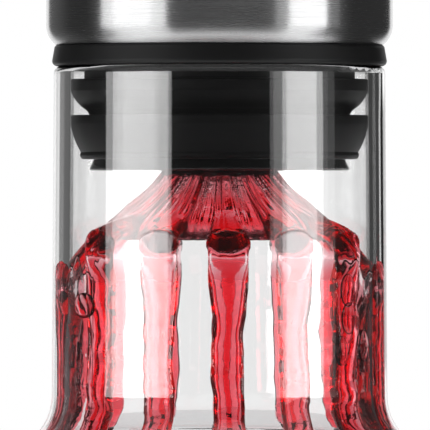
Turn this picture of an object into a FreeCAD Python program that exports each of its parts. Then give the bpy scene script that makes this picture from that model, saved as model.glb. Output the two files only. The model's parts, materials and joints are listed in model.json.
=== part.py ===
import FreeCAD, Part
import math
import os
import re

import Sketcher
from FreeCAD import Vector

# An aerating wine carafe: a blown glass carafe with a pour-through stopper in its neck.
# Millimetres, +Z up. The origin is on the axis, in the plane that the foot stands on.
# Every piece is turned about Z, so its outline is drawn in the XZ plane as (radius, height).

LEFT = 1
RIGHT = -1

SIZES = {
    # glass carafe
    "rim_z": 174.0,
    "rim_round": 1.3,
    "neck_r": 31.0,
    "wall": 3.1,
    "root_z": 112.5,
    "root_r": 31.4,
    "neck_fillet": 10.5,
    "shoulder_r": 66.0,
    "belly_r": 72.5,
    "heel_r": 48.0,
    "heel_floor_z": 9.5,
    "floor_r": 44.0,
    "floor_z": 6.6,
    "floor_top": 8.5,
    "floor_corner": 12.0,
    "foot_z": 1.0,
    "foot_r": 42.4,
    "foot_round": 3.0,
    "punt_r": 34.0,
    "punt_rise": 3.0,
    # clearances
    "free_gap": 0.3,
    "snug_gap": 0.1,
    # steel collar and its top ring
    "sheet": 0.8,
    "collar_z": 178.0,
    "collar_r": 32.4,
    "collar_foot_r": 30.6,
    "collar_bend": 4.7,
    "collar_roll": 1.6,
    "collar_top": 215.0,
    "top_ring_z": 211.7,
    "top_ring_thick": 1.6,
    "top_ring_hole": 24.4,
    "top_ring_edge": 0.5,
    # socket housing
    "spigot_r": 22.0,
    "spigot_bore": 18.6,
    "spigot_z": 156.9,
    "web_top": 181.4,
    "skirt_r": 31.5,
    "skirt_wall": 1.6,
    "skirt_top": 211.6,
    "skirt_toe": 1.5,
    "socket_bore": 20.5,
    "socket_r": 22.3,
    "socket_top": 209.5,
    "ledge_r": 16.5,
    "ledge_z": 168.0,
    "ledge_top": 170.0,
    "rib_thick": 1.6,
    "rib_top": 205.0,
    "rib_count": 6,
    # gasket under the collar
    "gasket_r": 31.3,
    "gasket_top_r": 30.9,
    "gasket_round": 1.0,
    "gasket_edge": 0.7,
    # lip seals round the spigot
    "lip_reach": 27.8,
    "lip_thick": 0.6,
    "lip_groove": 0.45,
    "sleeve_r": 25.3,
    "waist_r": 24.3,
    "upper_seal_z": 164.3,
    "upper_lip_top": 171.5,
    "upper_lip_root": 169.3,
    "upper_knee_r": 25.4,
    "upper_knee_z": 166.1,
    "upper_groove_z": 168.9,
    "lower_seal_z": 156.65,
    "lower_seal_top": 164.2,
    "lower_lip_top": 164.8,
    "lower_lip_root": 163.2,
    "lower_groove_z": 161.9,
    "bead_r": 25.9,
    "bead_z": 157.9,
    "bead_round": 0.8,
    "upper_lip_bend": 6.5,
    "lower_lip_bend": 12.5,
    "lip_groove_round": 0.46,
    # nozzle cap with its bayonet lugs
    "cap_z": 154.5,
    "cap_top": 156.55,
    "cap_r": 24.3,
    "cap_top_r": 23.5,
    "cap_edge": 0.4,
    "cap_hole": 12.5,
    "cap_sleeve_bore": 16.2,
    "cap_sleeve_top": 166.5,
    "lug_z": 160.0,
    "lug_high": 2.5,
    "lug_r": 20.0,
    "lug_angle": 18.0,
    "lug_count": 3,
    "twist_angle": 40.0,
    "lug_play": 1.0,
    "cap_ring_z": 164.7,
    "cap_ring_wire": 0.75,
    # nozzle plate, spreader cone and air tube
    "plate_r": 16.1,
    "plate_thick": 1.95,
    "jet_count": 14,
    "jet_r": 1.2,
    "jet_circle": 8.4,
    "cone_r": 10.8,
    "cone_edge_z": 154.0,
    "cone_low_z": 152.6,
    "cone_stem_r": 5.6,
    "cone_flare": 6.0,
    "cone_notch": 0.9,
    "tube_r": 2.8,
    "tube_bore": 1.9,
    "tube_low_z": 152.2,
    "tube_top": 183.4,
    "tube_hole": 2.9,
    "grommet_r": 5.0,
    "grommet_waist": 0.7,
    "grommet_high": 2.5,
    # strainer on its ledge
    "strainer_r": 20.3,
    "strainer_lip": 16.9,
    "strainer_floor": 0.9,
    "strainer_high": 2.5,
    "strainer_wall": 1.0,
    "screen_thick": 0.4,
    "screen_centre_hole": 3.4,
    "screen_hole": 0.65,
    "screen_pitch": 2.6,
    "screen_first_r": 5.4,
    "clip_wire": 0.55,
    "clip_r": 20.35,
    "clip_angle": 300.0,
    # ring seal between the collar and the housing
    "collar_ring_r": 27.0,
    "collar_ring_wire": 0.75,
    # seal cup and bottle seal
    "cup_z": 182.6,
    "cup_wall": 1.2,
    "cup_lip": 16.5,
    "cup_flange_r": 24.0,
    "cup_flange": 1.7,
    "cup_ring_z": 199.0,
    "cup_ring_wire": 0.45,
    "seat_z": 187.0,
    "seat_hole": 9.5,
    "bottle_r": 14.5,
    "bottle_mouth_z": 207.0,
    "seal_top": 213.4,
    "seal_mouth_r": 19.5,
    "seal_mouth_round": 8.0,
    "seal_edge": 1.1,
}

doc = FreeCAD.newDocument("aerating_carafe")
sheet = doc.addObject("Spreadsheet::Sheet", "Sizes")
for row, (alias, size) in enumerate(SIZES.items(), start=1):
    sheet.set(f"A{row}", alias)
    sheet.set(f"B{row}", str(size))
    sheet.setAlias(f"B{row}", alias)
doc.recompute()

pieces = []


def bound(text):
    """The expression that reads each size named in the text from the sheet."""
    return re.sub(
        r"[a-z][a-z_]+", lambda word: f"Sizes.{word[0]}" if word[0] in SIZES else word[0], text
    )


def worked_out(text):
    """The number that an expression gives."""
    return float(sheet.evalExpression(bound(text)))


def bind(item, prop, text):
    item.setExpression(prop, bound(text))


def new_piece(name):
    """An empty body that becomes one sub-part and one file."""
    body = doc.addObject("PartDesign::Body", name)
    body.Label = name
    body.Placement = FreeCAD.Placement()
    pieces.append(body)
    return body


def origin_item(body, role):
    return next(item for item in body.Origin.OriginFeatures if item.Role == role)


def new_sketch(body, name, plane="XZ_Plane"):
    sketch = body.newObject("Sketcher::SketchObject", name)
    sketch.AttachmentSupport = [(origin_item(body, plane), "")]
    sketch.MapMode = "FlatFace"
    return sketch


def place_point(sketch, geometry, end, across, up):
    """Holds one end of a line or arc at two sizes measured from the origin."""
    for kind, text, axis in (("DistanceX", across, -2), ("DistanceY", up, -1)):
        if text == "0":
            sketch.addConstraint(Sketcher.Constraint("PointOnObject", geometry, end, axis))
            continue
        number = worked_out(text)
        index = sketch.addConstraint(
            Sketcher.Constraint(kind, -1, 1, geometry, end, number)
        )
        bind(sketch, f"Constraints[{index}]", text)


def arc_between(first, last, radius, turn):
    """The shorter arc from one point to another, turning left or right."""
    chord = last - first
    height = math.sqrt(max(radius**2 - chord.Length**2 / 4, 0.0))
    side = Vector(-chord.y, chord.x, 0).normalize() * turn
    centre = (first + last) * 0.5 + side * height
    start, end = (first, last) if turn == LEFT else (last, first)
    angles = [math.atan2(p.y - centre.y, p.x - centre.x) for p in (start, end)]
    if angles[1] < angles[0]:
        angles[1] += 2 * math.pi
    circle = Part.Circle(centre, Vector(0, 0, 1), radius)
    return Part.ArcOfCircle(circle, angles[0], angles[1])


def draw_outline(sketch, corners):
    """Draws a closed outline through corners of (radius, height), each with the radius and
    the turn of the arc that leaves it, if the edge that leaves it isn't straight."""
    points = [Vector(worked_out(c[0]), worked_out(c[1]), 0) for c in corners]
    starts, ends = [], []
    for index, corner in enumerate(corners):
        here, there = points[index], points[(index + 1) % len(points)]
        if len(corner) == 2:
            edge = sketch.addGeometry(Part.LineSegment(here, there))
            turn = LEFT
        else:
            bend, turn = corner[2:]
            edge = sketch.addGeometry(arc_between(here, there, worked_out(bend), turn))
            fixed = sketch.addConstraint(
                Sketcher.Constraint("Radius", edge, worked_out(bend))
            )
            bind(sketch, f"Constraints[{fixed}]", bend)
        starts.append((edge, 1 if turn == LEFT else 2))
        ends.append((edge, 2 if turn == LEFT else 1))
    for index, corner in enumerate(corners):
        sketch.addConstraint(
            Sketcher.Constraint("Coincident", *ends[index - 1], *starts[index])
        )
        place_point(sketch, *starts[index], corner[0], corner[1])


def box_outline(low_r, low_z, high_r, high_z):
    return [(low_r, low_z), (high_r, low_z), (high_r, high_z), (low_r, high_z)]


def turn_about_axis(body, kind, sketch, angle=None, start=None):
    """Turns a sketch about Z, adding or cutting, all the way round, or through an angle
    that begins a start angle past the X axis."""
    if start:
        spin = FreeCAD.Rotation(Vector(0, 1, 0), worked_out(start))
        sketch.AttachmentOffset = FreeCAD.Placement(Vector(), spin)
        bind(sketch, "AttachmentOffset.Rotation.Angle", start)
    feature = body.newObject(f"PartDesign::{kind}", f"{sketch.Name}_turned")
    feature.Profile = sketch
    feature.ReferenceAxis = (sketch, ["V_Axis"])
    feature.Angle = 360.0
    if angle:
        bind(feature, "Angle", angle)
    sketch.Visibility = False
    return feature


def turned(body, name, corners, kind="Revolution", angle=None, start=None):
    sketch = new_sketch(body, name)
    draw_outline(sketch, corners)
    return turn_about_axis(body, kind, sketch, angle, start)


def turned_wire(body, name, radius, height, wire, kind="Revolution", angle=None):
    """A ring of round section."""
    sketch = new_sketch(body, name)
    centre = Vector(worked_out(radius), worked_out(height), 0)
    circle = sketch.addGeometry(Part.Circle(centre, Vector(0, 0, 1), worked_out(wire)))
    fixed = sketch.addConstraint(Sketcher.Constraint("Radius", circle, worked_out(wire)))
    bind(sketch, f"Constraints[{fixed}]", wire)
    place_point(sketch, circle, 3, radius, height)
    return turn_about_axis(body, kind, sketch, angle)


def repeat_round(body, features, count):
    pattern = body.newObject("PartDesign::PolarPattern", f"{features[0].Name}_round")
    pattern.Originals = features
    pattern.Axis = (origin_item(body, "Z_Axis"), [""])
    pattern.Angle = 360.0
    bind(pattern, "Occurrences", count)
    body.Tip = pattern
    return pattern


def drill_round(body, name, hole, circle, count):
    """Round holes along Z through the whole piece, spaced evenly on a circle."""
    sketch = new_sketch(body, name, "XY_Plane")
    centre = Vector(worked_out(circle), 0, 0)
    edge = sketch.addGeometry(Part.Circle(centre, Vector(0, 0, 1), worked_out(hole)))
    fixed = sketch.addConstraint(Sketcher.Constraint("Radius", edge, worked_out(hole)))
    bind(sketch, f"Constraints[{fixed}]", hole)
    place_point(sketch, edge, 3, circle, "0")
    pocket = body.newObject("PartDesign::Pocket", f"{name}_cut")
    pocket.Profile = sketch
    pocket.Type = "ThroughAll"
    pocket.Reversed = True
    sketch.Visibility = False
    return repeat_round(body, [pocket], count)


def make_glass_carafe():
    """Foot ring and punt, round belly, shoulder, and a straight neck with a polished rim.
    The belly's arcs are tangent to each other, and the inner ones share their centres."""
    fillet_x = "(root_r + neck_fillet)"
    shoulder_x = "(belly_r - shoulder_r)"
    heel_x = "(belly_r - heel_r)"
    reach = "(neck_fillet + shoulder_r)"
    across = f"({fillet_x} - {shoulder_x})"
    drop = f"sqrt({reach}^2 - {across}^2)"
    belly_z = f"(root_z - {drop})"
    outer_share = f"neck_fillet / {reach}"
    inner_share = f"(neck_fillet + wall) / {reach}"
    floor_rise = "(floor_top - floor_z)"
    turned(
        new_piece("glass_carafe"),
        "carafe_outline",
        [
            ("0", "punt_rise", "(punt_r^2 + punt_rise^2) / (2 * punt_rise)", RIGHT),
            ("punt_r", "0"),
            ("foot_r", "0", "foot_round", LEFT),
            (f"{heel_x} + sqrt(heel_r^2 - ({belly_z} - foot_z)^2)", "foot_z", "heel_r", LEFT),
            ("belly_r", belly_z, "shoulder_r", LEFT),
            (
                f"{fillet_x} - {outer_share} * {across}",
                f"root_z - {outer_share} * {drop}",
                "neck_fillet",
                RIGHT,
            ),
            ("root_r", "root_z"),
            ("neck_r", "rim_z - rim_round", "rim_round", LEFT),
            ("neck_r - rim_round", "rim_z"),
            ("neck_r - wall + rim_round", "rim_z", "rim_round", LEFT),
            ("neck_r - wall", "rim_z - rim_round"),
            ("root_r - wall", "root_z", "neck_fillet + wall", LEFT),
            (
                f"{fillet_x} - {inner_share} * {across}",
                f"root_z - {inner_share} * {drop}",
                "shoulder_r - wall",
                RIGHT,
            ),
            ("belly_r - wall", belly_z, "heel_r - wall", RIGHT),
            (
                f"{heel_x} + sqrt((heel_r - wall)^2 - ({belly_z} - heel_floor_z)^2)",
                "heel_floor_z",
                "floor_corner",
                RIGHT,
            ),
            ("floor_r", "floor_z", f"(floor_r^2 + {floor_rise}^2) / (2 * {floor_rise})", LEFT),
            ("0", "floor_top"),
        ],
    )


def make_steel_collar():
    """Drawn from sheet: a flat floor with a hole, a bent foot, a wall and a rolled top."""
    bend_rise = "sqrt(collar_bend^2 - (collar_bend - collar_r + collar_foot_r)^2)"
    bend_x = "(collar_r - collar_bend)"
    inner_bend = "(collar_bend - sheet)"
    wall_z = f"(collar_z + {bend_rise})"
    roll_z = "collar_top - collar_roll"
    hole = "spigot_r + snug_gap"
    turned(
        new_piece("steel_collar"),
        "collar_outline",
        [
            (hole, "collar_z"),
            ("collar_foot_r", "collar_z", "collar_bend", LEFT),
            ("collar_r", wall_z),
            ("collar_r", roll_z, "collar_roll", LEFT),
            ("collar_r - collar_roll", "collar_top", "collar_roll", LEFT),
            ("collar_r - 2 * collar_roll", roll_z),
            ("collar_r - 2 * collar_roll + sheet", roll_z, "collar_roll - sheet", RIGHT),
            ("collar_r - collar_roll", "collar_top - sheet", "collar_roll - sheet", RIGHT),
            ("collar_r - sheet", roll_z),
            ("collar_r - sheet", wall_z, inner_bend, RIGHT),
            (
                f"{bend_x} + sqrt({inner_bend}^2 - ({bend_rise} - sheet)^2)",
                "collar_z + sheet",
            ),
            (hole, "collar_z + sheet"),
        ],
    )


def make_collar_top_ring():
    top = "top_ring_z + top_ring_thick"
    turned(
        new_piece("collar_top_ring"),
        "top_ring_outline",
        [
            ("top_ring_hole", "top_ring_z"),
            ("skirt_r - snug_gap", "top_ring_z"),
            ("skirt_r - snug_gap", f"{top} - top_ring_edge"),
            ("skirt_r - snug_gap - top_ring_edge", top),
            ("top_ring_hole + top_ring_edge", top, "top_ring_edge", LEFT),
            ("top_ring_hole", f"{top} - top_ring_edge"),
        ],
    )


def make_socket_housing():
    """The moulding that everything in the stopper is built on: a spigot that reaches down
    into the neck, a web on the collar's floor, a skirt inside the collar, and the socket."""
    body = new_piece("socket_housing")
    web_z = "collar_z + sheet + snug_gap"
    turned(
        body,
        "housing_outline",
        [
            ("spigot_bore", "spigot_z"),
            ("spigot_r", "spigot_z"),
            ("spigot_r", web_z),
            ("skirt_r - skirt_toe", web_z),
            ("skirt_r", f"{web_z} + 2 * skirt_toe"),
            ("skirt_r", "skirt_top"),
            ("skirt_r - skirt_wall", "skirt_top"),
            ("skirt_r - skirt_wall", "web_top"),
            ("socket_r", "web_top"),
            ("socket_r", "socket_top"),
            ("socket_bore", "socket_top"),
            ("socket_bore", "ledge_top"),
            ("ledge_r", "ledge_top"),
            ("ledge_r", "ledge_z"),
            ("spigot_bore", "ledge_z"),
        ],
    )
    clip_z = "ledge_top + snug_gap + strainer_high + snug_gap + clip_wire"
    turned(
        body,
        "clip_groove",
        box_outline(
            "socket_bore - snug_gap",
            f"{clip_z} - clip_wire - snug_gap",
            "clip_r + clip_wire + snug_gap",
            f"{clip_z} + clip_wire + snug_gap",
        ),
        "Groove",
    )
    turned(
        body,
        "collar_ring_groove",
        box_outline(
            "collar_ring_r - collar_ring_wire - snug_gap",
            "collar_z + sheet",
            "collar_ring_r + collar_ring_wire + snug_gap",
            "collar_z + sheet + 2 * collar_ring_wire + snug_gap",
        ),
        "Groove",
    )
    run = turned(
        body,
        "lug_run",
        box_outline(
            "spigot_bore - snug_gap",
            "lug_z - free_gap",
            "lug_r + free_gap",
            "lug_z + lug_high + free_gap",
        ),
        "Groove",
        "lug_angle + twist_angle + 2 * lug_play",
        "-1 * lug_play",
    )
    repeat_round(body, [run], "lug_count")
    entry = turned(
        body,
        "lug_entry",
        box_outline(
            "spigot_bore - snug_gap",
            "spigot_z - snug_gap",
            "lug_r + 2 * snug_gap",
            "lug_z + lug_high / 2",
        ),
        "Groove",
        "lug_angle + lug_play",
        "twist_angle - lug_play / 2",
    )
    repeat_round(body, [entry], "lug_count")
    add_housing_ribs(body)
    return body


def add_housing_ribs(body):
    """Radial ribs in the hollow between the socket and the skirt."""
    sketch = new_sketch(body, "rib_outline")
    draw_outline(
        sketch,
        box_outline(
            "socket_r - snug_gap", "web_top - snug_gap", "skirt_r - skirt_wall + snug_gap", "rib_top"
        ),
    )
    rib = body.newObject("PartDesign::Pad", "housing_rib")
    rib.Profile = sketch
    rib.Midplane = True
    bind(rib, "Length", "rib_thick")
    sketch.Visibility = False
    repeat_round(body, [rib], "rib_count")


def make_flange_gasket():
    hole = "sleeve_r + snug_gap"
    turned(
        new_piece("flange_gasket"),
        "gasket_outline",
        [
            (hole, "rim_z"),
            ("gasket_r - gasket_round", "rim_z", "gasket_round", LEFT),
            ("gasket_r", "rim_z + gasket_round"),
            ("gasket_top_r", "collar_z - gasket_edge", "gasket_edge", LEFT),
            ("gasket_top_r - gasket_edge", "collar_z"),
            (hole, "collar_z"),
        ],
    )


def make_upper_lip_seal():
    """A sleeve round the spigot with a thin lip that reaches up and out to the glass."""
    bore = "spigot_r + snug_gap"
    groove_r = "sleeve_r + 2 * lip_groove"
    turned(
        new_piece("upper_lip_seal"),
        "upper_seal_outline",
        [
            (bore, "upper_seal_z"),
            ("waist_r", "upper_seal_z"),
            ("waist_r", "upper_seal_z + 4 * snug_gap", "5 * lip_groove", RIGHT),
            ("upper_knee_r", "upper_knee_z", "upper_lip_bend", LEFT),
            ("lip_reach", "upper_lip_root"),
            ("lip_reach", "upper_lip_top - lip_thick / 2", "lip_thick / 2", LEFT),
            ("lip_reach - lip_thick / 2", "upper_lip_top"),
            ("lip_reach - lip_thick", "upper_lip_top"),
            (groove_r, "upper_groove_z", "lip_groove_round", RIGHT),
            ("sleeve_r", "upper_groove_z"),
            ("sleeve_r", "collar_z"),
            (bore, "collar_z"),
        ],
    )


def make_lower_lip_seal():
    bore = "spigot_r + snug_gap"
    turned(
        new_piece("lower_lip_seal"),
        "lower_seal_outline",
        [
            (bore, "lower_seal_z"),
            ("bead_r - lip_thick / 2", "lower_seal_z", "bead_round", LEFT),
            ("bead_r", "bead_z", "lower_lip_bend", LEFT),
            ("lip_reach", "lower_lip_root"),
            ("lip_reach", "lower_lip_top - lip_thick / 2", "lip_thick / 2", LEFT),
            ("lip_reach - lip_thick / 2", "lower_lip_top"),
            ("lip_reach - lip_thick", "lower_lip_top"),
            ("lip_reach - 2 * lip_thick", "lower_groove_z", "lip_groove_round", RIGHT),
            ("lip_reach - 2 * lip_thick - 2 * lip_groove", "lower_groove_z"),
            ("waist_r + lip_thick", "lower_seal_top"),
            (bore, "lower_seal_top"),
        ],
    )


def make_nozzle_cap():
    """A flared ring that closes the spigot, with a sleeve that turns inside it on lugs."""
    body = new_piece("nozzle_cap")
    sleeve_r = "spigot_bore - free_gap"
    turned(
        body,
        "cap_outline",
        [
            ("cap_hole", "cap_z"),
            ("cap_r - cap_edge", "cap_z", "cap_edge", LEFT),
            ("cap_r", "cap_z + cap_edge"),
            ("cap_top_r", "cap_top"),
            (sleeve_r, "cap_top"),
            (sleeve_r, "cap_sleeve_top"),
            ("cap_sleeve_bore", "cap_sleeve_top"),
            ("cap_sleeve_bore", "cap_top"),
            ("cap_hole", "cap_top"),
        ],
    )
    turned(
        body,
        "cap_ring_groove",
        box_outline(
            f"{sleeve_r} - 2 * cap_ring_wire + snug_gap",
            "cap_ring_z - cap_ring_wire - snug_gap",
            f"{sleeve_r} + snug_gap",
            "cap_ring_z + cap_ring_wire + snug_gap",
        ),
        "Groove",
    )
    lug = turned(
        body,
        "cap_lug",
        box_outline(f"{sleeve_r} - snug_gap", "lug_z", "lug_r", "lug_z + lug_high"),
        "Revolution",
        "lug_angle",
    )
    repeat_round(body, [lug], "lug_count")
    return body


def make_nozzle_plate():
    body = new_piece("nozzle_plate")
    low = "cap_top + snug_gap"
    turned(body, "plate_outline", box_outline("tube_hole", low, "plate_r", f"{low} + plate_thick"))
    drill_round(body, "jet_hole", "jet_r", "jet_circle", "jet_count")


def make_spreader_cone():
    """Hangs under the nozzle plate and throws the wine outwards off a notched edge."""
    body = new_piece("spreader_cone")
    turned(
        body,
        "cone_outline",
        [
            ("tube_hole", "cone_low_z"),
            ("cone_r - 2 * cap_edge", "cone_edge_z - 2 * cap_edge", "cap_edge * 2", LEFT),
            ("cone_r", "cone_edge_z", "cone_flare", RIGHT),
            ("cone_stem_r", "cap_top"),
            ("tube_hole", "cap_top"),
        ],
    )
    drill_round(body, "cone_notch_hole", "cone_notch", "cone_r", "jet_count")


def make_air_tube():
    turned(
        new_piece("air_tube"),
        "tube_outline",
        [
            ("tube_bore", "tube_low_z"),
            ("tube_r", "tube_low_z"),
            ("tube_r", "tube_top - cap_edge", "cap_edge", LEFT),
            ("tube_r - cap_edge", "tube_top"),
            ("tube_bore", "tube_top"),
        ],
    )


def make_air_tube_grommet():
    low = "cap_top + snug_gap + plate_thick"
    middle = f"{low} + grommet_high / 2"
    turned(
        new_piece("air_tube_grommet"),
        "grommet_outline",
        [
            ("tube_hole", low),
            ("grommet_r", low),
            ("grommet_r - grommet_waist", middle),
            ("grommet_r - grommet_waist", f"{low} + grommet_high"),
            ("tube_hole", f"{low} + grommet_high"),
        ],
    )


def make_strainer_rim():
    low = "ledge_top + snug_gap"
    turned(
        new_piece("strainer_rim"),
        "strainer_outline",
        [
            ("strainer_lip", low),
            ("strainer_r", low),
            ("strainer_r", f"{low} + strainer_high"),
            ("strainer_r - strainer_wall", f"{low} + strainer_high"),
            ("strainer_r - strainer_wall", f"{low} + strainer_floor"),
            ("strainer_lip", f"{low} + strainer_floor"),
        ],
    )


def make_strainer_screen():
    """A thin disc pierced in rings, each ring with as many holes as fit at the pitch."""
    body = new_piece("strainer_screen")
    low = "ledge_top + snug_gap + strainer_floor"
    edge = "strainer_r - strainer_wall - snug_gap"
    turned(
        body, "screen_outline", box_outline("screen_centre_hole", low, edge, f"{low} + screen_thick")
    )
    ring = 0
    while worked_out(f"screen_first_r + {ring} * screen_pitch") < SIZES["strainer_lip"] - 1:
        circle = f"screen_first_r + {ring} * screen_pitch"
        count = f"floor(2 * pi * ({circle}) / screen_pitch)"
        drill_round(body, f"screen_ring_{ring}", "screen_hole", circle, count)
        ring += 1


def make_wire_rings():
    """The round-section seals and the open clip above the strainer."""
    clip_z = "ledge_top + 2 * snug_gap + strainer_high + clip_wire"
    turned_wire(
        new_piece("strainer_clip"), "clip_section", "clip_r", clip_z, "clip_wire", "Revolution",
        "clip_angle",
    )
    turned_wire(
        new_piece("collar_o_ring"), "collar_ring_section", "collar_ring_r",
        "collar_z + sheet + collar_ring_wire", "collar_ring_wire",
    )
    turned_wire(
        new_piece("nozzle_o_ring"), "cap_ring_section",
        "spigot_bore - snug_gap - cap_ring_wire", "cap_ring_z", "cap_ring_wire",
    )
    turned_wire(
        new_piece("cup_o_ring"), "cup_ring_section",
        "socket_bore - snug_gap - cup_ring_wire", "cup_ring_z", "cup_ring_wire",
    )


def make_seal_cup():
    """The rigid cup that carries the bottle seal and lifts out of the socket with it."""
    body = new_piece("seal_cup")
    outer = "socket_bore - free_gap"
    inner = f"{outer} - cup_wall"
    flange_top = "socket_top + cup_flange"
    turned(
        body,
        "cup_outline",
        [
            ("cup_lip", "cup_z"),
            (outer, "cup_z"),
            (outer, "socket_top"),
            ("cup_flange_r", "socket_top"),
            ("cup_flange_r", flange_top),
            (inner, flange_top),
            (inner, "cup_z + cup_wall"),
            ("cup_lip", "cup_z + cup_wall"),
        ],
    )
    turned(
        body,
        "cup_ring_groove",
        box_outline(
            "socket_bore - snug_gap - 2 * cup_ring_wire - snug_gap / 2",
            "cup_ring_z - cup_ring_wire - snug_gap",
            f"{outer} + snug_gap",
            "cup_ring_z + cup_ring_wire + snug_gap",
        ),
        "Groove",
    )


def make_bottle_seal():
    """The soft bush that grips the bottle: a flared mouth, a bore and a seat."""
    outer = "socket_bore - free_gap - cup_wall - snug_gap"
    low = "cup_z + cup_wall + snug_gap"
    flange_z = "socket_top + cup_flange + snug_gap"
    flange_r = "cup_flange_r - snug_gap"
    turned(
        new_piece("bottle_seal"),
        "seal_outline",
        [
            ("seat_hole", low),
            (outer, low),
            (outer, flange_z),
            (flange_r, flange_z),
            (flange_r, "seal_top - seal_edge", "seal_edge", LEFT),
            (f"{flange_r} - seal_edge", "seal_top"),
            ("seal_mouth_r", "seal_top", "seal_mouth_round", LEFT),
            ("bottle_r", "bottle_mouth_z"),
            ("bottle_r", "seat_z"),
            ("seat_hole", "seat_z"),
        ],
    )


def check_document():
    """Stops unless every object recomputed and every piece is one valid solid."""
    for item in doc.Objects:
        if "Invalid" in item.State or "Error" in item.State:
            raise RuntimeError(f"{item.Name} did not recompute: {item.State}")
    for piece in pieces:
        shape = piece.Shape
        if shape.isNull() or not shape.isValid() or len(shape.Solids) != 1:
            raise RuntimeError(f"{piece.Label} is not one valid solid")


def write_pieces():
    os.makedirs("parts", exist_ok=True)
    for piece in pieces:
        piece.Shape.exportStep(os.path.join("parts", f"{piece.Label}.step"))


make_glass_carafe()
make_steel_collar()
make_collar_top_ring()
make_socket_housing()
make_flange_gasket()
make_upper_lip_seal()
make_lower_lip_seal()
make_nozzle_cap()
make_nozzle_plate()
make_spreader_cone()
make_air_tube()
make_air_tube_grommet()
make_strainer_rim()
make_strainer_screen()
make_wire_rings()
make_seal_cup()
make_bottle_seal()
doc.recompute()
check_document()
write_pieces()
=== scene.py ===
import json
import math

import bmesh
import bpy
import numpy as np
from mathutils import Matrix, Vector


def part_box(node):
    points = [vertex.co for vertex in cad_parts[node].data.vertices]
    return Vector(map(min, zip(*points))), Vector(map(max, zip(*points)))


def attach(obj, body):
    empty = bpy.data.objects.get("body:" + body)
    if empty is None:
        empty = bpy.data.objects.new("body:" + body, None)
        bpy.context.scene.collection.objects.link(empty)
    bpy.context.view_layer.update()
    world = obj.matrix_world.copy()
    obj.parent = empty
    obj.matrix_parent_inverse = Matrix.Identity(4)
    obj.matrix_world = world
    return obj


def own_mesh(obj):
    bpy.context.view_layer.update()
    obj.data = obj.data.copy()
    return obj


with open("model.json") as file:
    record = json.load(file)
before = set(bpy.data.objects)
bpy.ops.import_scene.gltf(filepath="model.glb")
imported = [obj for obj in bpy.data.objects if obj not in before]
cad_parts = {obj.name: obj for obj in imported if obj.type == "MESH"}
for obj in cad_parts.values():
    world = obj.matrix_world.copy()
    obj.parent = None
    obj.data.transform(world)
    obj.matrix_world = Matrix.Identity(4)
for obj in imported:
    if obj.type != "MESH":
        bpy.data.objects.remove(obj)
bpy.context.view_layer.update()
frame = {"nodes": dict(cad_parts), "record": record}

MM = 0.001
TURN = 2 * math.pi
nodes = frame["nodes"]
glass = nodes["glass_carafe"]
rim_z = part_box("glass_carafe")[1].z
nozzle_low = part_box("nozzle_cap")[0].z
cone_edge_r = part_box("spreader_cone")[1].x

# ---------------------------------------------------------------- camera

CAMERA_DISTANCE = 2.0
CAMERA_SIDE = -0.84 * MM
CAMERA_BELOW_RIM = 27.8 * MM
FRAME_WIDTH = 80.4 * MM
SENSOR = 36.0

camera_data = bpy.data.cameras.new("camera")
camera_data.sensor_width = SENSOR
camera_data.lens = SENSOR * CAMERA_DISTANCE / FRAME_WIDTH
camera_data.clip_end = 20.0
camera = bpy.data.objects.new("camera", camera_data)
camera.location = (CAMERA_SIDE, -CAMERA_DISTANCE, rim_z - CAMERA_BELOW_RIM)
camera.rotation_euler = (math.radians(90), 0, 0)
bpy.context.scene.collection.objects.link(camera)
bpy.context.scene.camera = camera

# ---------------------------------------------------------------- node helpers


class Tree:
    """A short way to add and join nodes in one node tree."""

    def __init__(self, tree):
        self.nodes = tree.nodes
        self.links = tree.links

    def add(self, kind, inputs=None, **settings):
        """A new node, with values or links for its inputs, and its other settings."""
        node = self.nodes.new(kind)
        for name, value in settings.items():
            setattr(node, name, value)
        for name, value in (inputs or {}).items():
            self.feed(node.inputs[name], value)
        return node

    def feed(self, socket, value):
        if isinstance(value, bpy.types.NodeSocket):
            self.links.new(value, socket)
        else:
            socket.default_value = value

    def maths(self, operation, *values):
        node = self.add("ShaderNodeMath", operation=operation)
        for socket, value in zip(node.inputs, values):
            self.feed(socket, value)
        return node.outputs[0]

    def largest(self, first, *others):
        for other in others:
            first = self.maths("MAXIMUM", first, other)
        return first

    def ramp(self, value, low, high, to_low=0.0, to_high=1.0):
        """A smooth change from to_low to to_high while the value goes from low to high."""
        inputs = {"Value": value, "From Min": low, "From Max": high, "To Min": to_low, "To Max": to_high}
        return self.add("ShaderNodeMapRange", inputs, interpolation_type="SMOOTHSTEP").outputs["Result"]

    def bump(self, shader, height, strength, distance):
        inputs = {"Height": height, "Strength": strength, "Distance": distance}
        self.feed(shader.inputs["Normal"], self.add("ShaderNodeBump", inputs).outputs["Normal"])


def new_group(name, inputs, outputs, kind="ShaderNodeTree"):
    """A node group with named inputs and outputs, and its tree to fill in."""
    group = bpy.data.node_groups.new(name, kind)
    for label, (socket_type, default) in inputs.items():
        socket = group.interface.new_socket(label, in_out="INPUT", socket_type=socket_type)
        if default is not None:
            socket.default_value = default
    for label, socket_type in outputs.items():
        group.interface.new_socket(label, in_out="OUTPUT", socket_type=socket_type)
    tree = Tree(group)
    return group, tree, tree.add("NodeGroupInput").outputs, tree.add("NodeGroupOutput").inputs


# ---------------------------------------------------------------- studio

# A panel of a softbox is (from, to, strength), with its two edges in degrees to the right of
# the front. Strengths add up where the panels of a box overlap.
LEFT_BOX = ((-85.5, -35.8, 5.6), (-75.6, -45.8, 2.0))
RIGHT_BOX = ((37.6, 87.0, 0.95), (37.6, 76.5, 0.95), (47.3, 76.5, 5.6))
PANEL_EDGE = 0.8        # degrees that an edge fades over, on each side of it
BACKDROP_SEEN_THROUGH = 0.93
BACKDROP_ON_MATT = 0.9
ROOM = 0.06
FLOOR_RADIUS = 1.5


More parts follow.
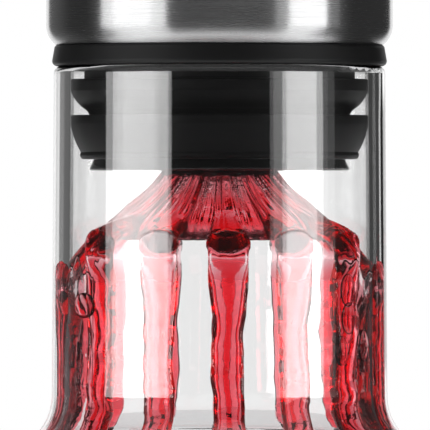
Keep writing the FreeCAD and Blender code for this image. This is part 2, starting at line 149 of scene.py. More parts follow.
def panel(tree, side, low, high, strength):
    """The strength of a panel between two edges, over which it fades."""
    off = tree.maths("ABSOLUTE", tree.maths("SUBTRACT", side, (low + high) / 2))
    half = (high - low) / 2
    return tree.ramp(off, half + PANEL_EDGE, half - PANEL_EDGE, 0.0, strength)


def softboxes(tree, side, lift, steep):
    """Both softboxes: a bright band at the horizon, faint above it, and a little stronger
    again well below it."""
    boxes = 0.0
    for low, high, strength in LEFT_BOX + RIGHT_BOX:
        boxes = tree.maths("ADD", boxes, panel(tree, side, low, high, strength))
    band = tree.ramp(steep, 5.5, 3.5, 0.012, 1.0)
    below = tree.ramp(lift, -5.0, -24.0, 0.055, 0.2)
    tall = tree.ramp(steep, 62.0, 52.0)
    return tree.maths("MULTIPLY", boxes, tree.maths("MULTIPLY", tree.largest(band, below), tall))


def mirrored_room(tree, side, turned_away):
    """What glass, wine and steel mirror apart from the softboxes: the white backdrop behind
    the object, a dim room in front of it, and darker corners between the two."""
    backdrop = tree.ramp(turned_away, 156.0, 161.0)
    corner = tree.ramp(turned_away, 108.0, 150.0, 0.03, 0.14)
    corner = tree.maths("MULTIPLY", corner, tree.ramp(side, -30.0, 30.0, 1.0, 0.35))
    room = tree.ramp(turned_away, 15.0, 50.0, ROOM, ROOM * 2.0)
    room = tree.maths("MULTIPLY", room, tree.ramp(turned_away, 100.0, 88.0, 0.4, 1.0))
    return tree.largest(backdrop, room, corner)


def seen_through(tree, side, steep):
    """What the glass and the wine let through: the same white on all four sides, up to a
    height, with darker corners between."""
    quarter = tree.maths("ABSOLUTE", tree.maths("WRAP", side, 45.0, -45.0))
    corner = tree.ramp(side, -30.0, 30.0, 0.11, 0.025)
    white = tree.maths("MULTIPLY", tree.ramp(quarter, 24.5, 22.5), tree.ramp(steep, 42.0, 32.0, 0.1, 1.0))
    return tree.largest(tree.maths("MULTIPLY", white, BACKDROP_SEEN_THROUGH), corner)


def studio_world():
    """A white studio. Rays that a surface mirrored, rays that matt surfaces scattered, rays
    that went through glass, and the camera's own rays each meet their own light in it."""
    world = bpy.data.worlds.new("studio")
    bpy.context.scene.world = world
    world.use_nodes = True
    world.cycles.sampling_method = "NONE"
    world.node_tree.nodes.clear()
    tree = Tree(world.node_tree)
    direction = tree.add("ShaderNodeTexCoord").outputs["Generated"]
    axes = tree.add("ShaderNodeSeparateXYZ", {"Vector": direction}).outputs
    side = tree.maths("ARCTAN2", axes["X"], tree.maths("MULTIPLY", axes["Y"], -1.0))
    side = tree.maths("DEGREES", side)
    turned_away = tree.maths("ABSOLUTE", side)
    lift = tree.maths("DEGREES", tree.maths("ARCSINE", axes["Z"]))
    steep = tree.maths("ABSOLUTE", lift)

    boxes = softboxes(tree, side, lift, steep)
    overhead = tree.ramp(lift, 38.0, 60.0, 0.0, 0.8)
    underneath = tree.ramp(lift, -40.0, -52.0, 0.0, 1.75)
    ends = tree.maths("ADD", overhead, underneath)
    mirrored = tree.largest(mirrored_room(tree, side, turned_away), ends, boxes)
    through = tree.largest(seen_through(tree, side, steep), ends, boxes)

    def choose(flag, chosen, otherwise):
        mix = tree.add("ShaderNodeMix", data_type="FLOAT")
        tree.feed(mix.inputs[0], flag)
        tree.feed(mix.inputs[2], otherwise)
        tree.feed(mix.inputs[3], chosen)
        return mix.outputs[0]

    path = tree.add("ShaderNodeLightPath").outputs
    was_mirrored = tree.maths("MINIMUM", path["Glossy Depth"], 1.0)
    was_scattered = tree.maths("MINIMUM", path["Diffuse Depth"], 1.0)
    light = choose(was_mirrored, mirrored, through)
    light = choose(was_scattered, BACKDROP_ON_MATT, light)
    light = choose(path["Is Camera Ray"], 1.0, light)
    back = tree.add("ShaderNodeBackground", {"Color": (1, 1, 1, 1), "Strength": light})
    out = tree.add("ShaderNodeOutputWorld")
    tree.links.new(back.outputs[0], out.inputs["Surface"])


def pale_floor():
    """A pale matt floor, which mirrors do not show."""
    bpy.ops.mesh.primitive_circle_add(vertices=96, radius=FLOOR_RADIUS, fill_type="NGON")
    floor = bpy.context.active_object
    floor.name = "floor"
    material = bpy.data.materials.new("pale_floor")
    material.use_nodes = True
    shader = material.node_tree.nodes["Principled BSDF"]
    shader.inputs["Base Color"].default_value = (0.84, 0.84, 0.845, 1)
    shader.inputs["Roughness"].default_value = 0.7
    floor.data.materials.append(material)
    floor.visible_glossy = False


bpy.context.scene.view_settings.view_transform = "Standard"
studio_world()
pale_floor()

# ---------------------------------------------------------------- materials

ROUGHNESS_SWING = 0.03
WINE_IOR = 1.34
GLASS_IOR = 1.5


def new_material(name):
    """A material with its tree, its surface shader and the place on the piece."""
    material = bpy.data.materials.new(name)
    material.use_nodes = True
    shader = material.node_tree.nodes["Principled BSDF"]
    tree = Tree(material.node_tree)
    place = tree.add("ShaderNodeTexCoord").outputs["Object"]
    return material, tree, shader, place


def grain_group():
    """Fine noise: a roughness that wanders about a middle value, and a height for bump."""
    group, tree, inputs, outputs = new_group(
        "fine_grain",
        {
            "Place": ("NodeSocketVector", (0, 0, 0)),
            "Grain Scale": ("NodeSocketFloat", 4000.0),
            "Roughness": ("NodeSocketFloat", 0.4),
            "Wander": ("NodeSocketFloat", 0.05),
        },
        {"Roughness": "NodeSocketFloat", "Height": "NodeSocketFloat"},
    )
    fine = tree.add(
        "ShaderNodeTexNoise", {"Vector": inputs["Place"], "Scale": inputs["Grain Scale"]}
    )
    broad = tree.add("ShaderNodeTexNoise", {"Vector": inputs["Place"], "Scale": 90.0, "Detail": 4.0})
    swing = tree.maths("MULTIPLY", tree.maths("SUBTRACT", broad.outputs[0], 0.5), inputs["Wander"])
    tree.feed(outputs["Roughness"], tree.maths("ADD", inputs["Roughness"], swing))
    tree.feed(outputs["Height"], fine.outputs[0])
    return group


GRAIN = grain_group()


def moulded_material(name, shade, roughness, wander, grain_scale, bump, gloss=0.5):
    """Silicone, rubber or plastic from a mould, with its fine surface grain."""
    material, tree, shader, place = new_material(name)
    grain = tree.add("ShaderNodeGroup", node_tree=GRAIN)
    tree.feed(grain.inputs["Place"], place)
    grain.inputs["Grain Scale"].default_value = grain_scale
    grain.inputs["Roughness"].default_value = roughness
    grain.inputs["Wander"].default_value = wander
    shader.inputs["Base Color"].default_value = (shade, shade, shade * 1.08, 1)
    shader.inputs["Specular IOR Level"].default_value = gloss
    tree.feed(shader.inputs["Roughness"], grain.outputs["Roughness"])
    tree.bump(shader, grain.outputs["Height"], bump, 0.05 * MM)
    return material


def steel_material(name, shade, roughness, hairline):
    """Stainless steel with fine hairlines that run round the piece, so that a reflection
    is drawn out along the axis and stays sharp across it."""
    material, tree, shader, place = new_material(name)
    stretch = tree.add("ShaderNodeMapping", {"Vector": place, "Scale": (40.0, 40.0, 9000.0)})
    lines = tree.add("ShaderNodeTexNoise", {"Vector": stretch.outputs[0], "Scale": 1.0, "Detail": 3.0})
    broad = tree.add("ShaderNodeTexNoise", {"Vector": place, "Scale": 45.0, "Detail": 3.0})
    wander = tree.maths("ADD", lines.outputs[0], broad.outputs[0])
    shader.inputs["Base Color"].default_value = (shade, shade, shade * 1.01, 1)
    shader.inputs["Metallic"].default_value = 1.0
    shader.inputs["Anisotropic"].default_value = 1.0
    shader.inputs["Anisotropic Rotation"].default_value = 0.25
    tree.feed(shader.inputs["Tangent"], tree.add("ShaderNodeTangent", axis="Z").outputs[0])
    low, high = roughness - ROUGHNESS_SWING, roughness + ROUGHNESS_SWING
    tree.feed(shader.inputs["Roughness"], tree.ramp(wander, 0.6, 1.4, low, high))
    tree.bump(shader, lines.outputs[0], hairline, 0.01 * MM)
    return material


def make_clear(shader, index):
    """Smooth and colourless, with an index of refraction."""
    shader.inputs["Base Color"].default_value = (1, 1, 1, 1)
    shader.inputs["Roughness"].default_value = 0.0
    shader.inputs["IOR"].default_value = index
    shader.inputs["Transmission Weight"].default_value = 1.0


def glass_material():
    """Clear blown glass with the faint waviness that blowing leaves."""
    material, tree, shader, place = new_material("clear_glass")
    make_clear(shader, GLASS_IOR)
    stretch = tree.add("ShaderNodeMapping", {"Vector": place, "Scale": (18.0, 18.0, 7.0)})
    wave = tree.add("ShaderNodeTexNoise", {"Vector": stretch.outputs[0], "Scale": 1.0, "Detail": 1.0})
    tree.bump(shader, wave.outputs[0], 0.05, 1.0 * MM)
    return material


def wine_material():
    """Red wine: clear, and red by the depth that light goes through."""
    material, tree, shader, place = new_material("red_wine")
    make_clear(shader, WINE_IOR)
    ripple = tree.add("ShaderNodeTexNoise", {"Vector": place, "Scale": 260.0, "Detail": 2.0})
    tree.bump(shader, ripple.outputs[0], 0.25, 0.6 * MM)
    absorb = tree.add("ShaderNodeVolumeAbsorption")
    absorb.inputs["Color"].default_value = (0.972, 0.0, 0.12, 1)
    absorb.inputs["Density"].default_value = 760.0
    out = material.node_tree.nodes["Material Output"]
    tree.links.new(absorb.outputs[0], out.inputs["Volume"])
    return material


FINISHES = {
    "clear_glass": glass_material(),
    "polished_steel": steel_material("polished_steel", 0.5, 0.27, 0.05),
    "sheet_steel": steel_material("sheet_steel", 0.6, 0.4, 0.3),
    "black_moulding": moulded_material("black_moulding", 0.01, 0.5, 0.1, 3500, 0.3, 0.35),
    "dark_gloss_moulding": moulded_material("dark_gloss_moulding", 0.006, 0.16, 0.05, 2500, 0.04, 0.5),
    "black_silicone": moulded_material("black_silicone", 0.0035, 0.45, 0.1, 3000, 0.1, 0.15),
    "black_rubber": moulded_material("black_rubber", 0.004, 0.45, 0.1, 3000, 0.12, 0.35),
}
WINE = wine_material()


def finish_cad_nodes():
    """Gives every designed piece the finish that its record names."""
    for part in frame["record"]["subparts"]:
        piece = nodes[part["node"]]
        for slot in piece.material_slots:
            slot.material = FINISHES[part["material_slot"]]


finish_cad_nodes()

# ---------------------------------------------------------------- wine

# Lengths are in millimetres here, heights are above the floor, and azimuths are turns from the
# front towards -X. They become metres in round_axis.

STREAMS = 14
STREAM_LEAN = math.radians(3.2)
RIM = rim_z / MM
LANDING_Z = RIM - 33.0
SIDE_DROP = 6.0
POOL_Z = 44.7
CUT_Z = 104.0           # one mesh has the bell and the streams above, each stream its own below
HEM_R = 22.9
HEM_FALL = 13.1
WET = 0.05              # wine reaches this far into the glass, so that no gap shows
SHARP = math.radians(48)

# The grids that the pieces are made on.
BELL_COLUMNS = 448
BELL_RADIUS_STEP = 0.28
BELL_HEIGHT_STEP = 0.42
HALVES_OVERLAP = 0.02
OUTSIDE = 0.2           # the field at the limits of the grid, so that each half closes
FILM_ROWS = 90
FILM_COLUMNS = 80
PATCH_SIDE = 30
BEAD_SIDES = 32
STREAM_STEPS = 220
DROP_STEPS = 40
MOST_DROPS = 200000.0   # per square metre, far more than the spacing lets through

dice = np.random.default_rng(7)
PHASES = dice.uniform(0, TURN, (STREAMS, 6))
LENGTHS = dice.uniform(0.85, 1.25, (STREAMS, 4))

# Even places round the neck, pushed a little towards +X at the front and the back.
EVEN = np.arange(STREAMS) * TURN / STREAMS
AZIMUTHS = EVEN - STREAM_LEAN * np.cos(EVEN)


def wall_radius(height):
    """The radius of the glass's inner face at a height, found on the glass itself."""
    _, place, _, _ = glass.ray_cast(Vector((0, 0, height * MM)), Vector((1, 0, 0)))
    return place.x / MM


def wall_path(top, low, steps):
    """Even distances down the inner face, the points (radius, height) there, and their
    normals, which point into the carafe."""
    heights = np.linspace(top, low, 400)
    radii = np.array([wall_radius(h) for h in heights])
    along = np.concatenate([[0], np.cumsum(np.hypot(np.diff(radii), np.diff(heights)))])
    even = np.linspace(0, along[-1], steps)
    path = np.stack([np.interp(even, along, radii), np.interp(even, along, heights)], 1)
    slope = np.gradient(path, axis=0)
    slope /= np.linalg.norm(slope, axis=1)[:, None]
    normals = np.stack([slope[:, 1], -slope[:, 0]], 1)
    return even, path, normals


def round_axis(radius, azimuth, height):
    """Points in metres from radii, azimuths from the front towards -X, and heights."""
    return np.stack([-radius * np.sin(azimuth), -radius * np.cos(azimuth), height + 0 * azimuth], -1) * MM


def new_mesh_piece(name, points, faces):
    """A smooth piece of wine from an array of points in metres and a list of faces."""
    mesh = bpy.data.meshes.new(name)
    mesh.from_pydata(points.tolist(), [], faces)
    mesh.polygons.foreach_set("use_smooth", [True] * len(mesh.polygons))
    piece = bpy.data.objects.new(name, mesh)
    bpy.context.scene.collection.objects.link(piece)
    piece.data.materials.append(WINE)
    return piece


def skin(grid):
    """Quads over a grid of points whose columns close into a loop, with capped ends."""
    rows, columns = grid.shape[:2]
    points = np.concatenate([grid.reshape(-1, 3), [grid[0].mean(0), grid[-1].mean(0)]])
    faces = []
    for row in range(rows - 1):
        here, there = row * columns, (row + 1) * columns
        for column in range(columns):
            after = (column + 1) % columns
            faces.append((here + column, here + after, there + after, there + column))
    first, last = rows * columns, rows * columns + 1
    bottom = (rows - 1) * columns
    for column in range(columns):
        after = (column + 1) % columns
        faces.append((first, after, column))
        faces.append((last, bottom + column, bottom + after))
    return points, faces


def outward(piece):
    """Turns the faces of a closed piece to point out."""
    work = bmesh.new()
    work.from_mesh(piece.data)
    bmesh.ops.remove_doubles(work, verts=work.verts, dist=1e-7)
    bmesh.ops.recalc_face_normals(work, faces=work.faces)
    if work.calc_volume(signed=True) < 0:
        bmesh.ops.reverse_faces(work, faces=work.faces)
    work.to_mesh(piece.data)
    work.free()


def sink(piece):
    """Gives the piece a mesh of its own and fixes it to the carafe's body, so that it moves with the
    carafe.
    """
    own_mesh(piece)
    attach(piece, "carafe")


def smooth_step(value, low, high):
    """0 up to low, 1 from high on, and a smooth change between the two."""
    share = np.clip((value - low) / (high - low), 0, 1)
    return share * share * (3 - 2 * share)


def landing_height(azimuth):
    """Where the jets meet the glass: lower at the two sides."""
    return LANDING_Z - SIDE_DROP * smooth_step(np.abs(np.sin(azimuth)), 0.8, 0.97)


def stream_size(index, fall):
    """Half width, depth and sideways drift of a stream at a distance below its landing.

    A stream narrows and deepens below its landing and spreads flat on the shoulder. Its
    width, depth and place waver. Of the streams at the two sides, those on the right are
    fuller and those on the left thinner, and all of them waver less."""
    phase = PHASES[index]
    length = LENGTHS[index]
    sideways = np.abs(np.sin(AZIMUTHS[index]))
    right = np.sin(AZIMUTHS[index]) < 0

    def wave(period, shift):
        return np.sin(TURN * fall / period + shift)

    narrow = smooth_step(fall, 5.0, 16.0)
    aside = smooth_step(sideways, 0.9, 0.96) * narrow
    spread = smooth_step(fall, 33.0, 70.0)
    restless = narrow * (1 + 1.6 * smooth_step(sideways, 0.7, 0.85) - 2.2 * aside)
    swell = wave(12.0 * length[..., 0], phase[..., 0]) + 0.5 * wave(5.2 * length[..., 1], phase[..., 1])
    half = 3.7 - 0.8 * narrow + 1.9 * spread + 0.12 * restless * swell + aside * np.where(right, 0.9, -0.7)
    bulge = wave(9.0 * length[..., 2], phase[..., 2]) + 0.5 * wave(4.1 * length[..., 3], phase[..., 3])
    depth = 0.6 + 1.9 * smooth_step(fall, 2.5, 7.5) + 0.3 * narrow - 1.7 * spread * (1 - aside)
    depth = depth + 0.15 * restless * (1 - 0.6 * spread) * bulge - aside * np.where(right, 0.1, 1.2)
    drift = 0.2 * restless * wave(23.0, phase[..., 4]) + 0.06 * restless * wave(7.5, phase[..., 5])
    return half, depth, drift


def blend(first, second, width):
    """Joins two distance fields with a fillet of about the given width."""
    share = np.clip(0.5 + 0.5 * (second - first) / width, 0, 1)
    return second + (first - second) * share - width * share * (1 - share)


def to_curve(radius, height, corners, steps=90):
    """For points in the half plane, the signed distance to a smooth curve near the corners,
    how far they are past the nearest point of it, and how far along it that point is, from 0
    to 1."""
    share = np.linspace(0, 1, steps)
    corner_share = np.linspace(0, 1, len(corners))
    corners = np.array(corners)
    fit = [np.polynomial.Polynomial.fit(corner_share, corners[:, k], 4) for k in range(2)]
    curve = np.stack([fit[0](share), fit[1](share)], 1)
    slope = np.gradient(curve, axis=0)
    slope /= np.linalg.norm(slope, axis=1)[:, None]
    gap_r = radius[..., None] - curve[:, 0]
    gap_z = height[..., None] - curve[:, 1]
    nearest = np.argmin(gap_r**2 + gap_z**2, axis=-1)
    pick = curve[nearest]
    way = slope[nearest]
    off_r, off_z = radius - pick[..., 0], height - pick[..., 1]
    above = off_z * way[..., 0] - off_r * way[..., 1]
    past = off_r * way[..., 0] + off_z * way[..., 1]
    return above, past, share[nearest]


def to_lowered_curve(lowered, radius, height, corners):
    """The same as to_curve at every point of the grid, for a curve whose outer part hangs
    lower by a distance that is given for each azimuth, and the share of that distance at
    each radius."""
    pull = np.clip((radius - 16.0) / 11.9, 0, 1) ** 1.8
    grid = (len(lowered), len(radius), len(height))
    above, past, share = np.empty(grid), np.empty(grid), np.empty(grid)
    rounded = np.round(lowered, 1)
    for shift in np.unique(rounded):
        rows = rounded == shift
        bent = height[None, :] + shift * pull[:, None]
        radii = radius[:, None] + 0 * bent
        above[rows], past[rows], share[rows] = to_curve(radii, bent, corners)
    return above, past, share, pull[None, :, None]


def bell_field(azimuth, radius, height, lateral):
    """The fluted film that falls from the spreader, with its hem, and a jet down it to each
    stream."""
    top = nozzle_low / MM
    edge = cone_edge_r / MM
    film_path = [(edge - 0.7, top - 0.2), (12.5, top - 2.9), (15.7, top - 5.6), (19.3, top - 7.9),
                 (21.8, top - 10.2), (22.8, top - 13.0)]
    jet_path = [(edge - 0.7, top - 0.2), (12.5, top - 3.1), (15.4, top - 6.1), (19.2, top - 8.5),
                (23.8, top - 10.7), (28.6, top - 13.9)]
    lowered = LANDING_Z - landing_height(azimuth)
    film, film_past, film_share, pull = to_lowered_curve(lowered, radius, height, film_path)
    jet, jet_past, jet_share, _ = to_lowered_curve(lowered, radius, height, jet_path)

    turn = azimuth[:, None, None]
    flutes = np.cos(5 * STREAMS * turn + 1.5 * np.sin(3 * turn)) * (1 - 0.5 * film_share)
    flutes = flutes + 0.6 * np.cos(7 * STREAMS * turn + 2 * np.sin(4 * turn)) * (1 - 0.7 * film_share)
    film = film + 0.34 * flutes * (1 - 0.5 * film_share)
    film_half = np.maximum(0.15 + 0.1 * flutes, 0.09)
    beyond_end = np.where(film_share >= 0.999, film_past, 0)
    film_field = np.sqrt(film**2 + beyond_end**2) - film_half

    reach = radius[None, :, None]
    underside = top - HEM_FALL + (HEM_R - reach) * 0.96 - lowered[:, None, None] * pull
    web = np.maximum(film, np.maximum(reach - HEM_R, (underside - height[None, None, :]) * 0.72))
    film_field = blend(film_field, web, 0.3)

    jet = jet + 0.1 * flutes
    half_width = 0.85 + 2.85 * jet_share**2 + 0.1 * np.sin(9 * jet_share + 5 * turn)
    half_depth = 0.55 + 1.55 * smooth_step(jet_share, 0.45, 1.0)
    jet_field = (np.sqrt((lateral / half_width) ** 2 + (jet / half_depth) ** 2) - 1) * half_depth
    jet_field = jet_field + np.where(jet_share <= 0.001, np.abs(jet_past), 0)
    return blend(film_field, jet_field, 0.9)


def stream_field(index, lateral, radius, height, wall):
    """The streams on the glass, each with a round head where its jet lands."""
    fall = landing_height(AZIMUTHS)[index] - height[None, None, :]
    half, depth, drift = stream_size(index, fall)
    head = np.sqrt(np.clip(1 - (np.clip(-fall, 0, None) / 2.5) ** 2, 0, 1))
    half = half * head + 1e-3
    inward = np.clip(wall - radius[None, :, None], 0, None)
    stream = np.sqrt(((lateral - drift) / half) ** 2 + (inward / depth) ** 2) - 1
    stream = stream * np.minimum(half, depth)
    return np.maximum(stream, -2.4 - fall)


def wine_field(azimuth, radius, height):
    """A field that is negative inside the falling wine: the bell and its streams, cut off at
    the glass and at CUT_Z."""
    gaps = (azimuth[:, None] - AZIMUTHS[None, :] + math.pi) % TURN - math.pi
    index = np.abs(gaps).argmin(1)
    gap = gaps[np.arange(len(azimuth)), index][:, None, None]
    lateral = gap * radius[None, :, None]
    wall = np.array([wall_radius(z) for z in height])[None, None, :]
    bell = bell_field(azimuth, radius, height, lateral)
    streams = stream_field(index[:, None, None], lateral, radius, height, wall)
    field = blend(bell, streams, 0.5)
    field = np.maximum(field, radius[None, :, None] - (wall + WET))
    return np.maximum(field, CUT_Z - height[None, None, :])


def net_over(field, azimuth, radius, height):
    """The surface where a field on a grid round the axis crosses zero: one point in each
    cell that it crosses, and a quad for each grid edge that it crosses."""
    inside = field < 0
    rounds, across, tall = field.shape
    total = np.zeros((rounds, across - 1, tall - 1, 3))
    count = np.zeros((rounds, across - 1, tall - 1))

    def corner(array, da, dr, dz):
        rolled = np.roll(array, -da, axis=0)
        return rolled[:, dr:across - 1 + dr, dz:tall - 1 + dz]

    for axis, step in enumerate(((1, 0, 0), (0, 1, 0), (0, 0, 1))):
        others = [k for k in range(3) if k != axis]
        for first in (0, 1):
            for second in (0, 1):
                start = [0, 0, 0]
                start[others[0]], start[others[1]] = first, second
                end = [s + t for s, t in zip(start, step)]
                low, high = corner(field, *start), corner(field, *end)
                crossed = (low < 0) != (high < 0)
                share = np.where(crossed, low / np.where(crossed, low - high, 1), 0)
                for k in range(3):
                    total[..., k] += crossed * (start[k] + share * step[k])
                count += crossed
    active = count > 0
    number = np.full(active.shape, -1)
    number[active] = np.arange(active.sum())
    cells = np.argwhere(active)
    place = cells + total[active] / count[active][:, None]
    turn = azimuth[0] + place[:, 0] * (TURN / rounds)
    out = np.interp(place[:, 1], np.arange(across), radius)
    up = np.interp(place[:, 2], np.arange(tall), height)

    edges = (
        (
            inside[:, 1:-1, 1:-1],
            np.roll(inside, -1, axis=0)[:, 1:-1, 1:-1],
            ((0, 0, 0), (0, 1, 0), (0, 1, 1), (0, 0, 1)),
        ),
        (inside[:, :-1, 1:-1], inside[:, 1:, 1:-1], ((-1, 0, 0), (-1, 0, 1), (0, 0, 1), (0, 0, 0))),
        (inside[:, 1:-1, :-1], inside[:, 1:-1, 1:], ((-1, 0, 0), (0, 0, 0), (0, 1, 0), (-1, 1, 0))),
    )
    quads = []
    for near, far, around in edges:
        a, r, z = np.nonzero(near != far)
        quad = np.stack([number[(a + i) % rounds, r + j, z + k] for i, j, k in around], 1)
        leaving = near[a, r, z]
        quad[~leaving] = quad[~leaving][:, ::-1]
        quads.append(quad)
    return turn, out, up, np.concatenate(quads).tolist()


def falling_wine():
    """The bell and the streams on the neck, as a front half and a back half."""
    azimuth = np.arange(BELL_COLUMNS) * TURN / BELL_COLUMNS
    radius = np.arange(8.5, 32.3, BELL_RADIUS_STEP)
    height = np.arange(CUT_Z - 1.0, 156.5, BELL_HEIGHT_STEP)
    field = wine_field(azimuth, radius, height)
    forward = radius[None, :, None] * np.cos(azimuth)[:, None, None]
    for name, beyond in (("front", -forward - HALVES_OVERLAP), ("back", forward)):
        half = np.maximum(field, beyond)
        half[:, (0, -1), :] = OUTSIDE
        half[:, :, (0, -1)] = OUTSIDE
        turn, out, up, quads = net_over(half, azimuth, radius, height)
        piece = new_mesh_piece(f"wine_bell_{name}", round_axis(out, turn, up), quads)
        outward(piece)
        piece.data.set_sharp_from_angle(angle=SHARP)
        sink(piece)


def bead_on_wall(name, azimuth, top, low, size, steps):
    """A bead of wine along the glass between two heights. The size function gives its half
    width, depth and sideways drift at a distance along the wall."""
    along, path, normals = wall_path(top, low, steps)
    half, depth, drift = size(along)
    round_turn = np.linspace(0, TURN, BEAD_SIDES, endpoint=False)
    proud = np.sin(round_turn)
    lateral = np.cos(round_turn)[None, :] * half[:, None] + drift[:, None]
    lift = np.where(proud[None, :] > 1e-6, proud[None, :] * depth[:, None], -WET)
    radius = path[:, 0, None] + normals[:, 0, None] * lift
    level = path[:, 1, None] + normals[:, 1, None] * lift
    grid = round_axis(radius, azimuth + lateral / path[:, 0, None], level)
    piece = new_mesh_piece(name, *skin(grid))
    outward(piece)
    sink(piece)


def running_stream(index):
    """A stream below CUT_Z, down the neck and over the shoulder to the pool. It starts a
    little above CUT_Z and ends below the pool's surface, so that no gap shows."""
    azimuth = AZIMUTHS[index]
    top = CUT_Z + 0.4
    start = landing_height(azimuth) - top

    def size(along):
        return stream_size(np.array(index), start + along)

    bead_on_wall(f"wine_stream_{index + 1:02d}", azimuth, top, POOL_Z - 1.0, size, STREAM_STEPS)


def resting_drop():
    """A drop that clings to the neck by itself, fuller towards its foot."""
    top = RIM - 42.2
    low = RIM - 47.0

    def size(along):
        share = along / along[-1]
        round_off = np.sqrt(np.clip(1 - (2 * share - 1) ** 2, 0, 1)) + 1e-3
        return 3.2 * round_off, (0.6 + 1.3 * share) * round_off, 0 * along

    bead_on_wall("wine_drop", math.radians(57.5), top, low, size, DROP_STEPS)


def wet_film(name, start, end, seed):
    """A thin patch of wine that clings to the neck between two azimuths, under a ragged top
    edge."""
    shift = np.random.default_rng(seed).uniform(0, TURN, 4)
    along, path, normals = wall_path(LANDING_Z, CUT_Z - 2.0, FILM_ROWS)
    across = np.linspace(0, 1, FILM_COLUMNS)
    azimuth = start + (end - start) * across
    edge = 4.5 + 1.6 * np.sin(9 * across + shift[0]) + 0.8 * np.sin(23 * across + shift[1])
    down = np.linspace(0, 1, FILM_ROWS)
    depth = edge[None, :] + (along[-1] - edge[None, :]) * down[:, None]
    radius, height, lean_r, lean_z = (
        np.interp(depth, along, column) for column in (*path.T, *normals.T)
    )
    rows, columns = np.meshgrid(down, across, indexing="ij")
    inset = np.minimum(np.minimum(rows, 1 - rows) * 12, np.minimum(columns, 1 - columns) * 6)
    ripple = 1 + 0.2 * np.sin(9 * columns + shift[2]) * np.sin(7 * rows + shift[3])
    thick = 0.1 * smooth_step(inset, 0, 1) * ripple
    inner = round_axis(radius + lean_r * thick, azimuth[None, :], height + lean_z * thick)
    outer = round_axis(radius + WET, azimuth[None, :], height)
    edges = (rows == 0) | (rows == 1) | (columns == 0) | (columns == 1)
    inner[edges] = outer[edges]
    count = inner[..., 0].size
    number = np.arange(count).reshape(rows.shape)
    quads = np.stack(
        [number[:-1, :-1], number[1:, :-1], number[1:, 1:], number[:-1, 1:]], -1
    ).reshape(-1, 4)
    points = np.concatenate([inner.reshape(-1, 3), outer.reshape(-1, 3)])
    faces = np.concatenate([quads, quads[:, ::-1] + count]).tolist()
    piece = new_mesh_piece(name, points, faces)
    outward(piece)
    sink(piece)


def scattered_drops():
    """A tree that strews low domes over a patch, each with its flat side on the patch and
    its length down the patch. The patch itself is left out of what it puts out."""
    inputs = {
        "Patch": ("NodeSocketGeometry", None),
        "Spacing": ("NodeSocketFloat", 2.6 * MM),
        "Smallest": ("NodeSocketFloat", 0.4 * MM),
        "Largest": ("NodeSocketFloat", 1.5 * MM),
        "Rise": ("NodeSocketFloat", 0.4),
        "Length": ("NodeSocketFloat", 1.5),
        "Seed": ("NodeSocketInt", 1),
        "Material": ("NodeSocketMaterial", None),
    }
    outputs = {"Drops": "NodeSocketGeometry"}
    group, tree, given, result = new_group("scattered_drops", inputs, outputs, "GeometryNodeTree")
    group.is_modifier = True
    ball = tree.add("GeometryNodeMeshUVSphere", {"Segments": 28, "Rings": 16, "Radius": 1.0})
    place = tree.add("GeometryNodeInputPosition").outputs[0]
    axes = tree.add("ShaderNodeSeparateXYZ", {"Vector": place}).outputs
    rise = tree.maths("MULTIPLY", tree.maths("MAXIMUM", axes["Z"], 0.0), given["Rise"])
    low = tree.add("ShaderNodeCombineXYZ", {"X": axes["X"], "Y": axes["Y"], "Z": rise})
    dome = tree.add(
        "GeometryNodeSetPosition", {"Geometry": ball.outputs["Mesh"], "Position": low.outputs[0]}
    )
    strewn = tree.add(
        "GeometryNodeDistributePointsOnFaces",
        {
            "Mesh": given["Patch"],
            "Distance Min": given["Spacing"],
            "Density Max": MOST_DROPS,
            "Seed": given["Seed"],
        },
        distribute_method="POISSON",
    )
    upright = tree.add(
        "FunctionNodeAxesToRotation",
        {"Primary Axis": strewn.outputs["Normal"], "Secondary Axis": (0.0, 0.0, 1.0)},
        primary_axis="Z",
        secondary_axis="X",
    )
    size = tree.add("FunctionNodeRandomValue", {"Seed": given["Seed"]}, data_type="FLOAT")
    tree.feed(size.inputs[2], given["Smallest"])
    tree.feed(size.inputs[3], given["Largest"])
    across = size.outputs[1]
    along = tree.maths("MULTIPLY", across, given["Length"])
    scale = tree.add("ShaderNodeCombineXYZ", {"X": along, "Y": across, "Z": across})
    drops = tree.add(
        "GeometryNodeInstanceOnPoints",
        {
            "Points": strewn.outputs["Points"],
            "Instance": dome.outputs[0],
            "Rotation": upright.outputs[0],
            "Scale": scale.outputs[0],
        },
    )
    real = tree.add("GeometryNodeRealizeInstances", {"Geometry": drops.outputs[0]})
    smooth = tree.add("GeometryNodeSetShadeSmooth", {"Geometry": real.outputs[0]})
    finished = tree.add(
        "GeometryNodeSetMaterial", {"Geometry": smooth.outputs[0], "Material": given["Material"]}
    )
    tree.feed(result["Drops"], finished.outputs[0])
    return group


SCATTERED_DROPS = scattered_drops()


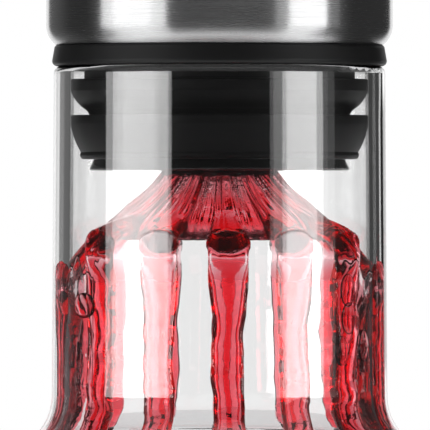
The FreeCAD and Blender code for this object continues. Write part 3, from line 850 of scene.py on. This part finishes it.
def drops_on_neck(name, start, end, top, low, settings):
    """Small drops on the inner face of the neck, between two azimuths and two heights."""
    _, path, _ = wall_path(top, low, PATCH_SIDE)
    azimuth = np.linspace(start, end, PATCH_SIDE)
    grid = round_axis(path[:, 0, None] + WET, azimuth[None, :], path[:, 1, None])
    number = np.arange(PATCH_SIDE**2).reshape(PATCH_SIDE, PATCH_SIDE)
    quads = np.stack([number[:-1, :-1], number[:-1, 1:], number[1:, 1:], number[1:, :-1]], -1)
    piece = new_mesh_piece(name, grid.reshape(-1, 3), quads.reshape(-1, 4).tolist())
    normal = piece.data.polygons[0].normal
    centre = piece.data.polygons[0].center
    if normal.x * centre.x + normal.y * centre.y > 0:
        piece.data.flip_normals()
    strew = piece.modifiers.new("drops", "NODES")
    strew.node_group = SCATTERED_DROPS
    sockets = SCATTERED_DROPS.interface.items_tree
    for label, value in {"Material": WINE, **settings}.items():
        strew[sockets[label].identifier] = value
    shown = piece.evaluated_get(bpy.context.evaluated_depsgraph_get())
    mesh = bpy.data.meshes.new_from_object(shown)
    piece.modifiers.clear()
    piece.data = mesh
    piece.data.set_sharp_from_angle(angle=SHARP)
    sink(piece)


def wine_pool():
    """The wine already in the bowl, with a low meniscus round its edge."""
    middle = Vector((0, 0, POOL_Z * MM))
    outline = []
    for angle in np.linspace(0, math.pi / 2, 60):
        way = Vector((math.sin(angle), 0, -math.cos(angle)))
        _, place, _, _ = glass.ray_cast(middle, way)
        reach = (place - middle).length / MM + WET
        outline.append((way.x * reach, POOL_Z + way.z * reach))
    edge = outline[-1][0]
    for inset, rise in ((0.0, 0.9), (0.4, 0.5), (1.2, 0.15), (3.0, 0.0)):
        outline.append((edge - inset, POOL_Z + rise))
    outline += [(radius, POOL_Z) for radius in np.linspace(edge - 4, 0.2, 40)]
    outline = np.array(outline[1:])     # the first point is on the axis, which a cap closes
    azimuth = np.linspace(0, TURN, 160, endpoint=False)
    grid = round_axis(outline[:, 0, None], azimuth[None, :], outline[:, 1, None])
    piece = new_mesh_piece("wine_pool", *skin(grid))
    outward(piece)
    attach(piece, "carafe")


falling_wine()
for index in range(STREAMS):
    running_stream(index)
resting_drop()
wet_film("wine_film_left", math.radians(52), math.radians(75), 3)
wet_film("wine_film_right", math.radians(-75), math.radians(-45), 5)
drops_on_neck(
    "wine_drops",
    math.radians(-63),
    math.radians(-47),
    RIM - 41.5,
    RIM - 53.0,
    {"Seed": 3, "Spacing": 4.5 * MM, "Smallest": 1.0 * MM, "Largest": 2.1 * MM, "Rise": 0.3},
)
wine_pool()
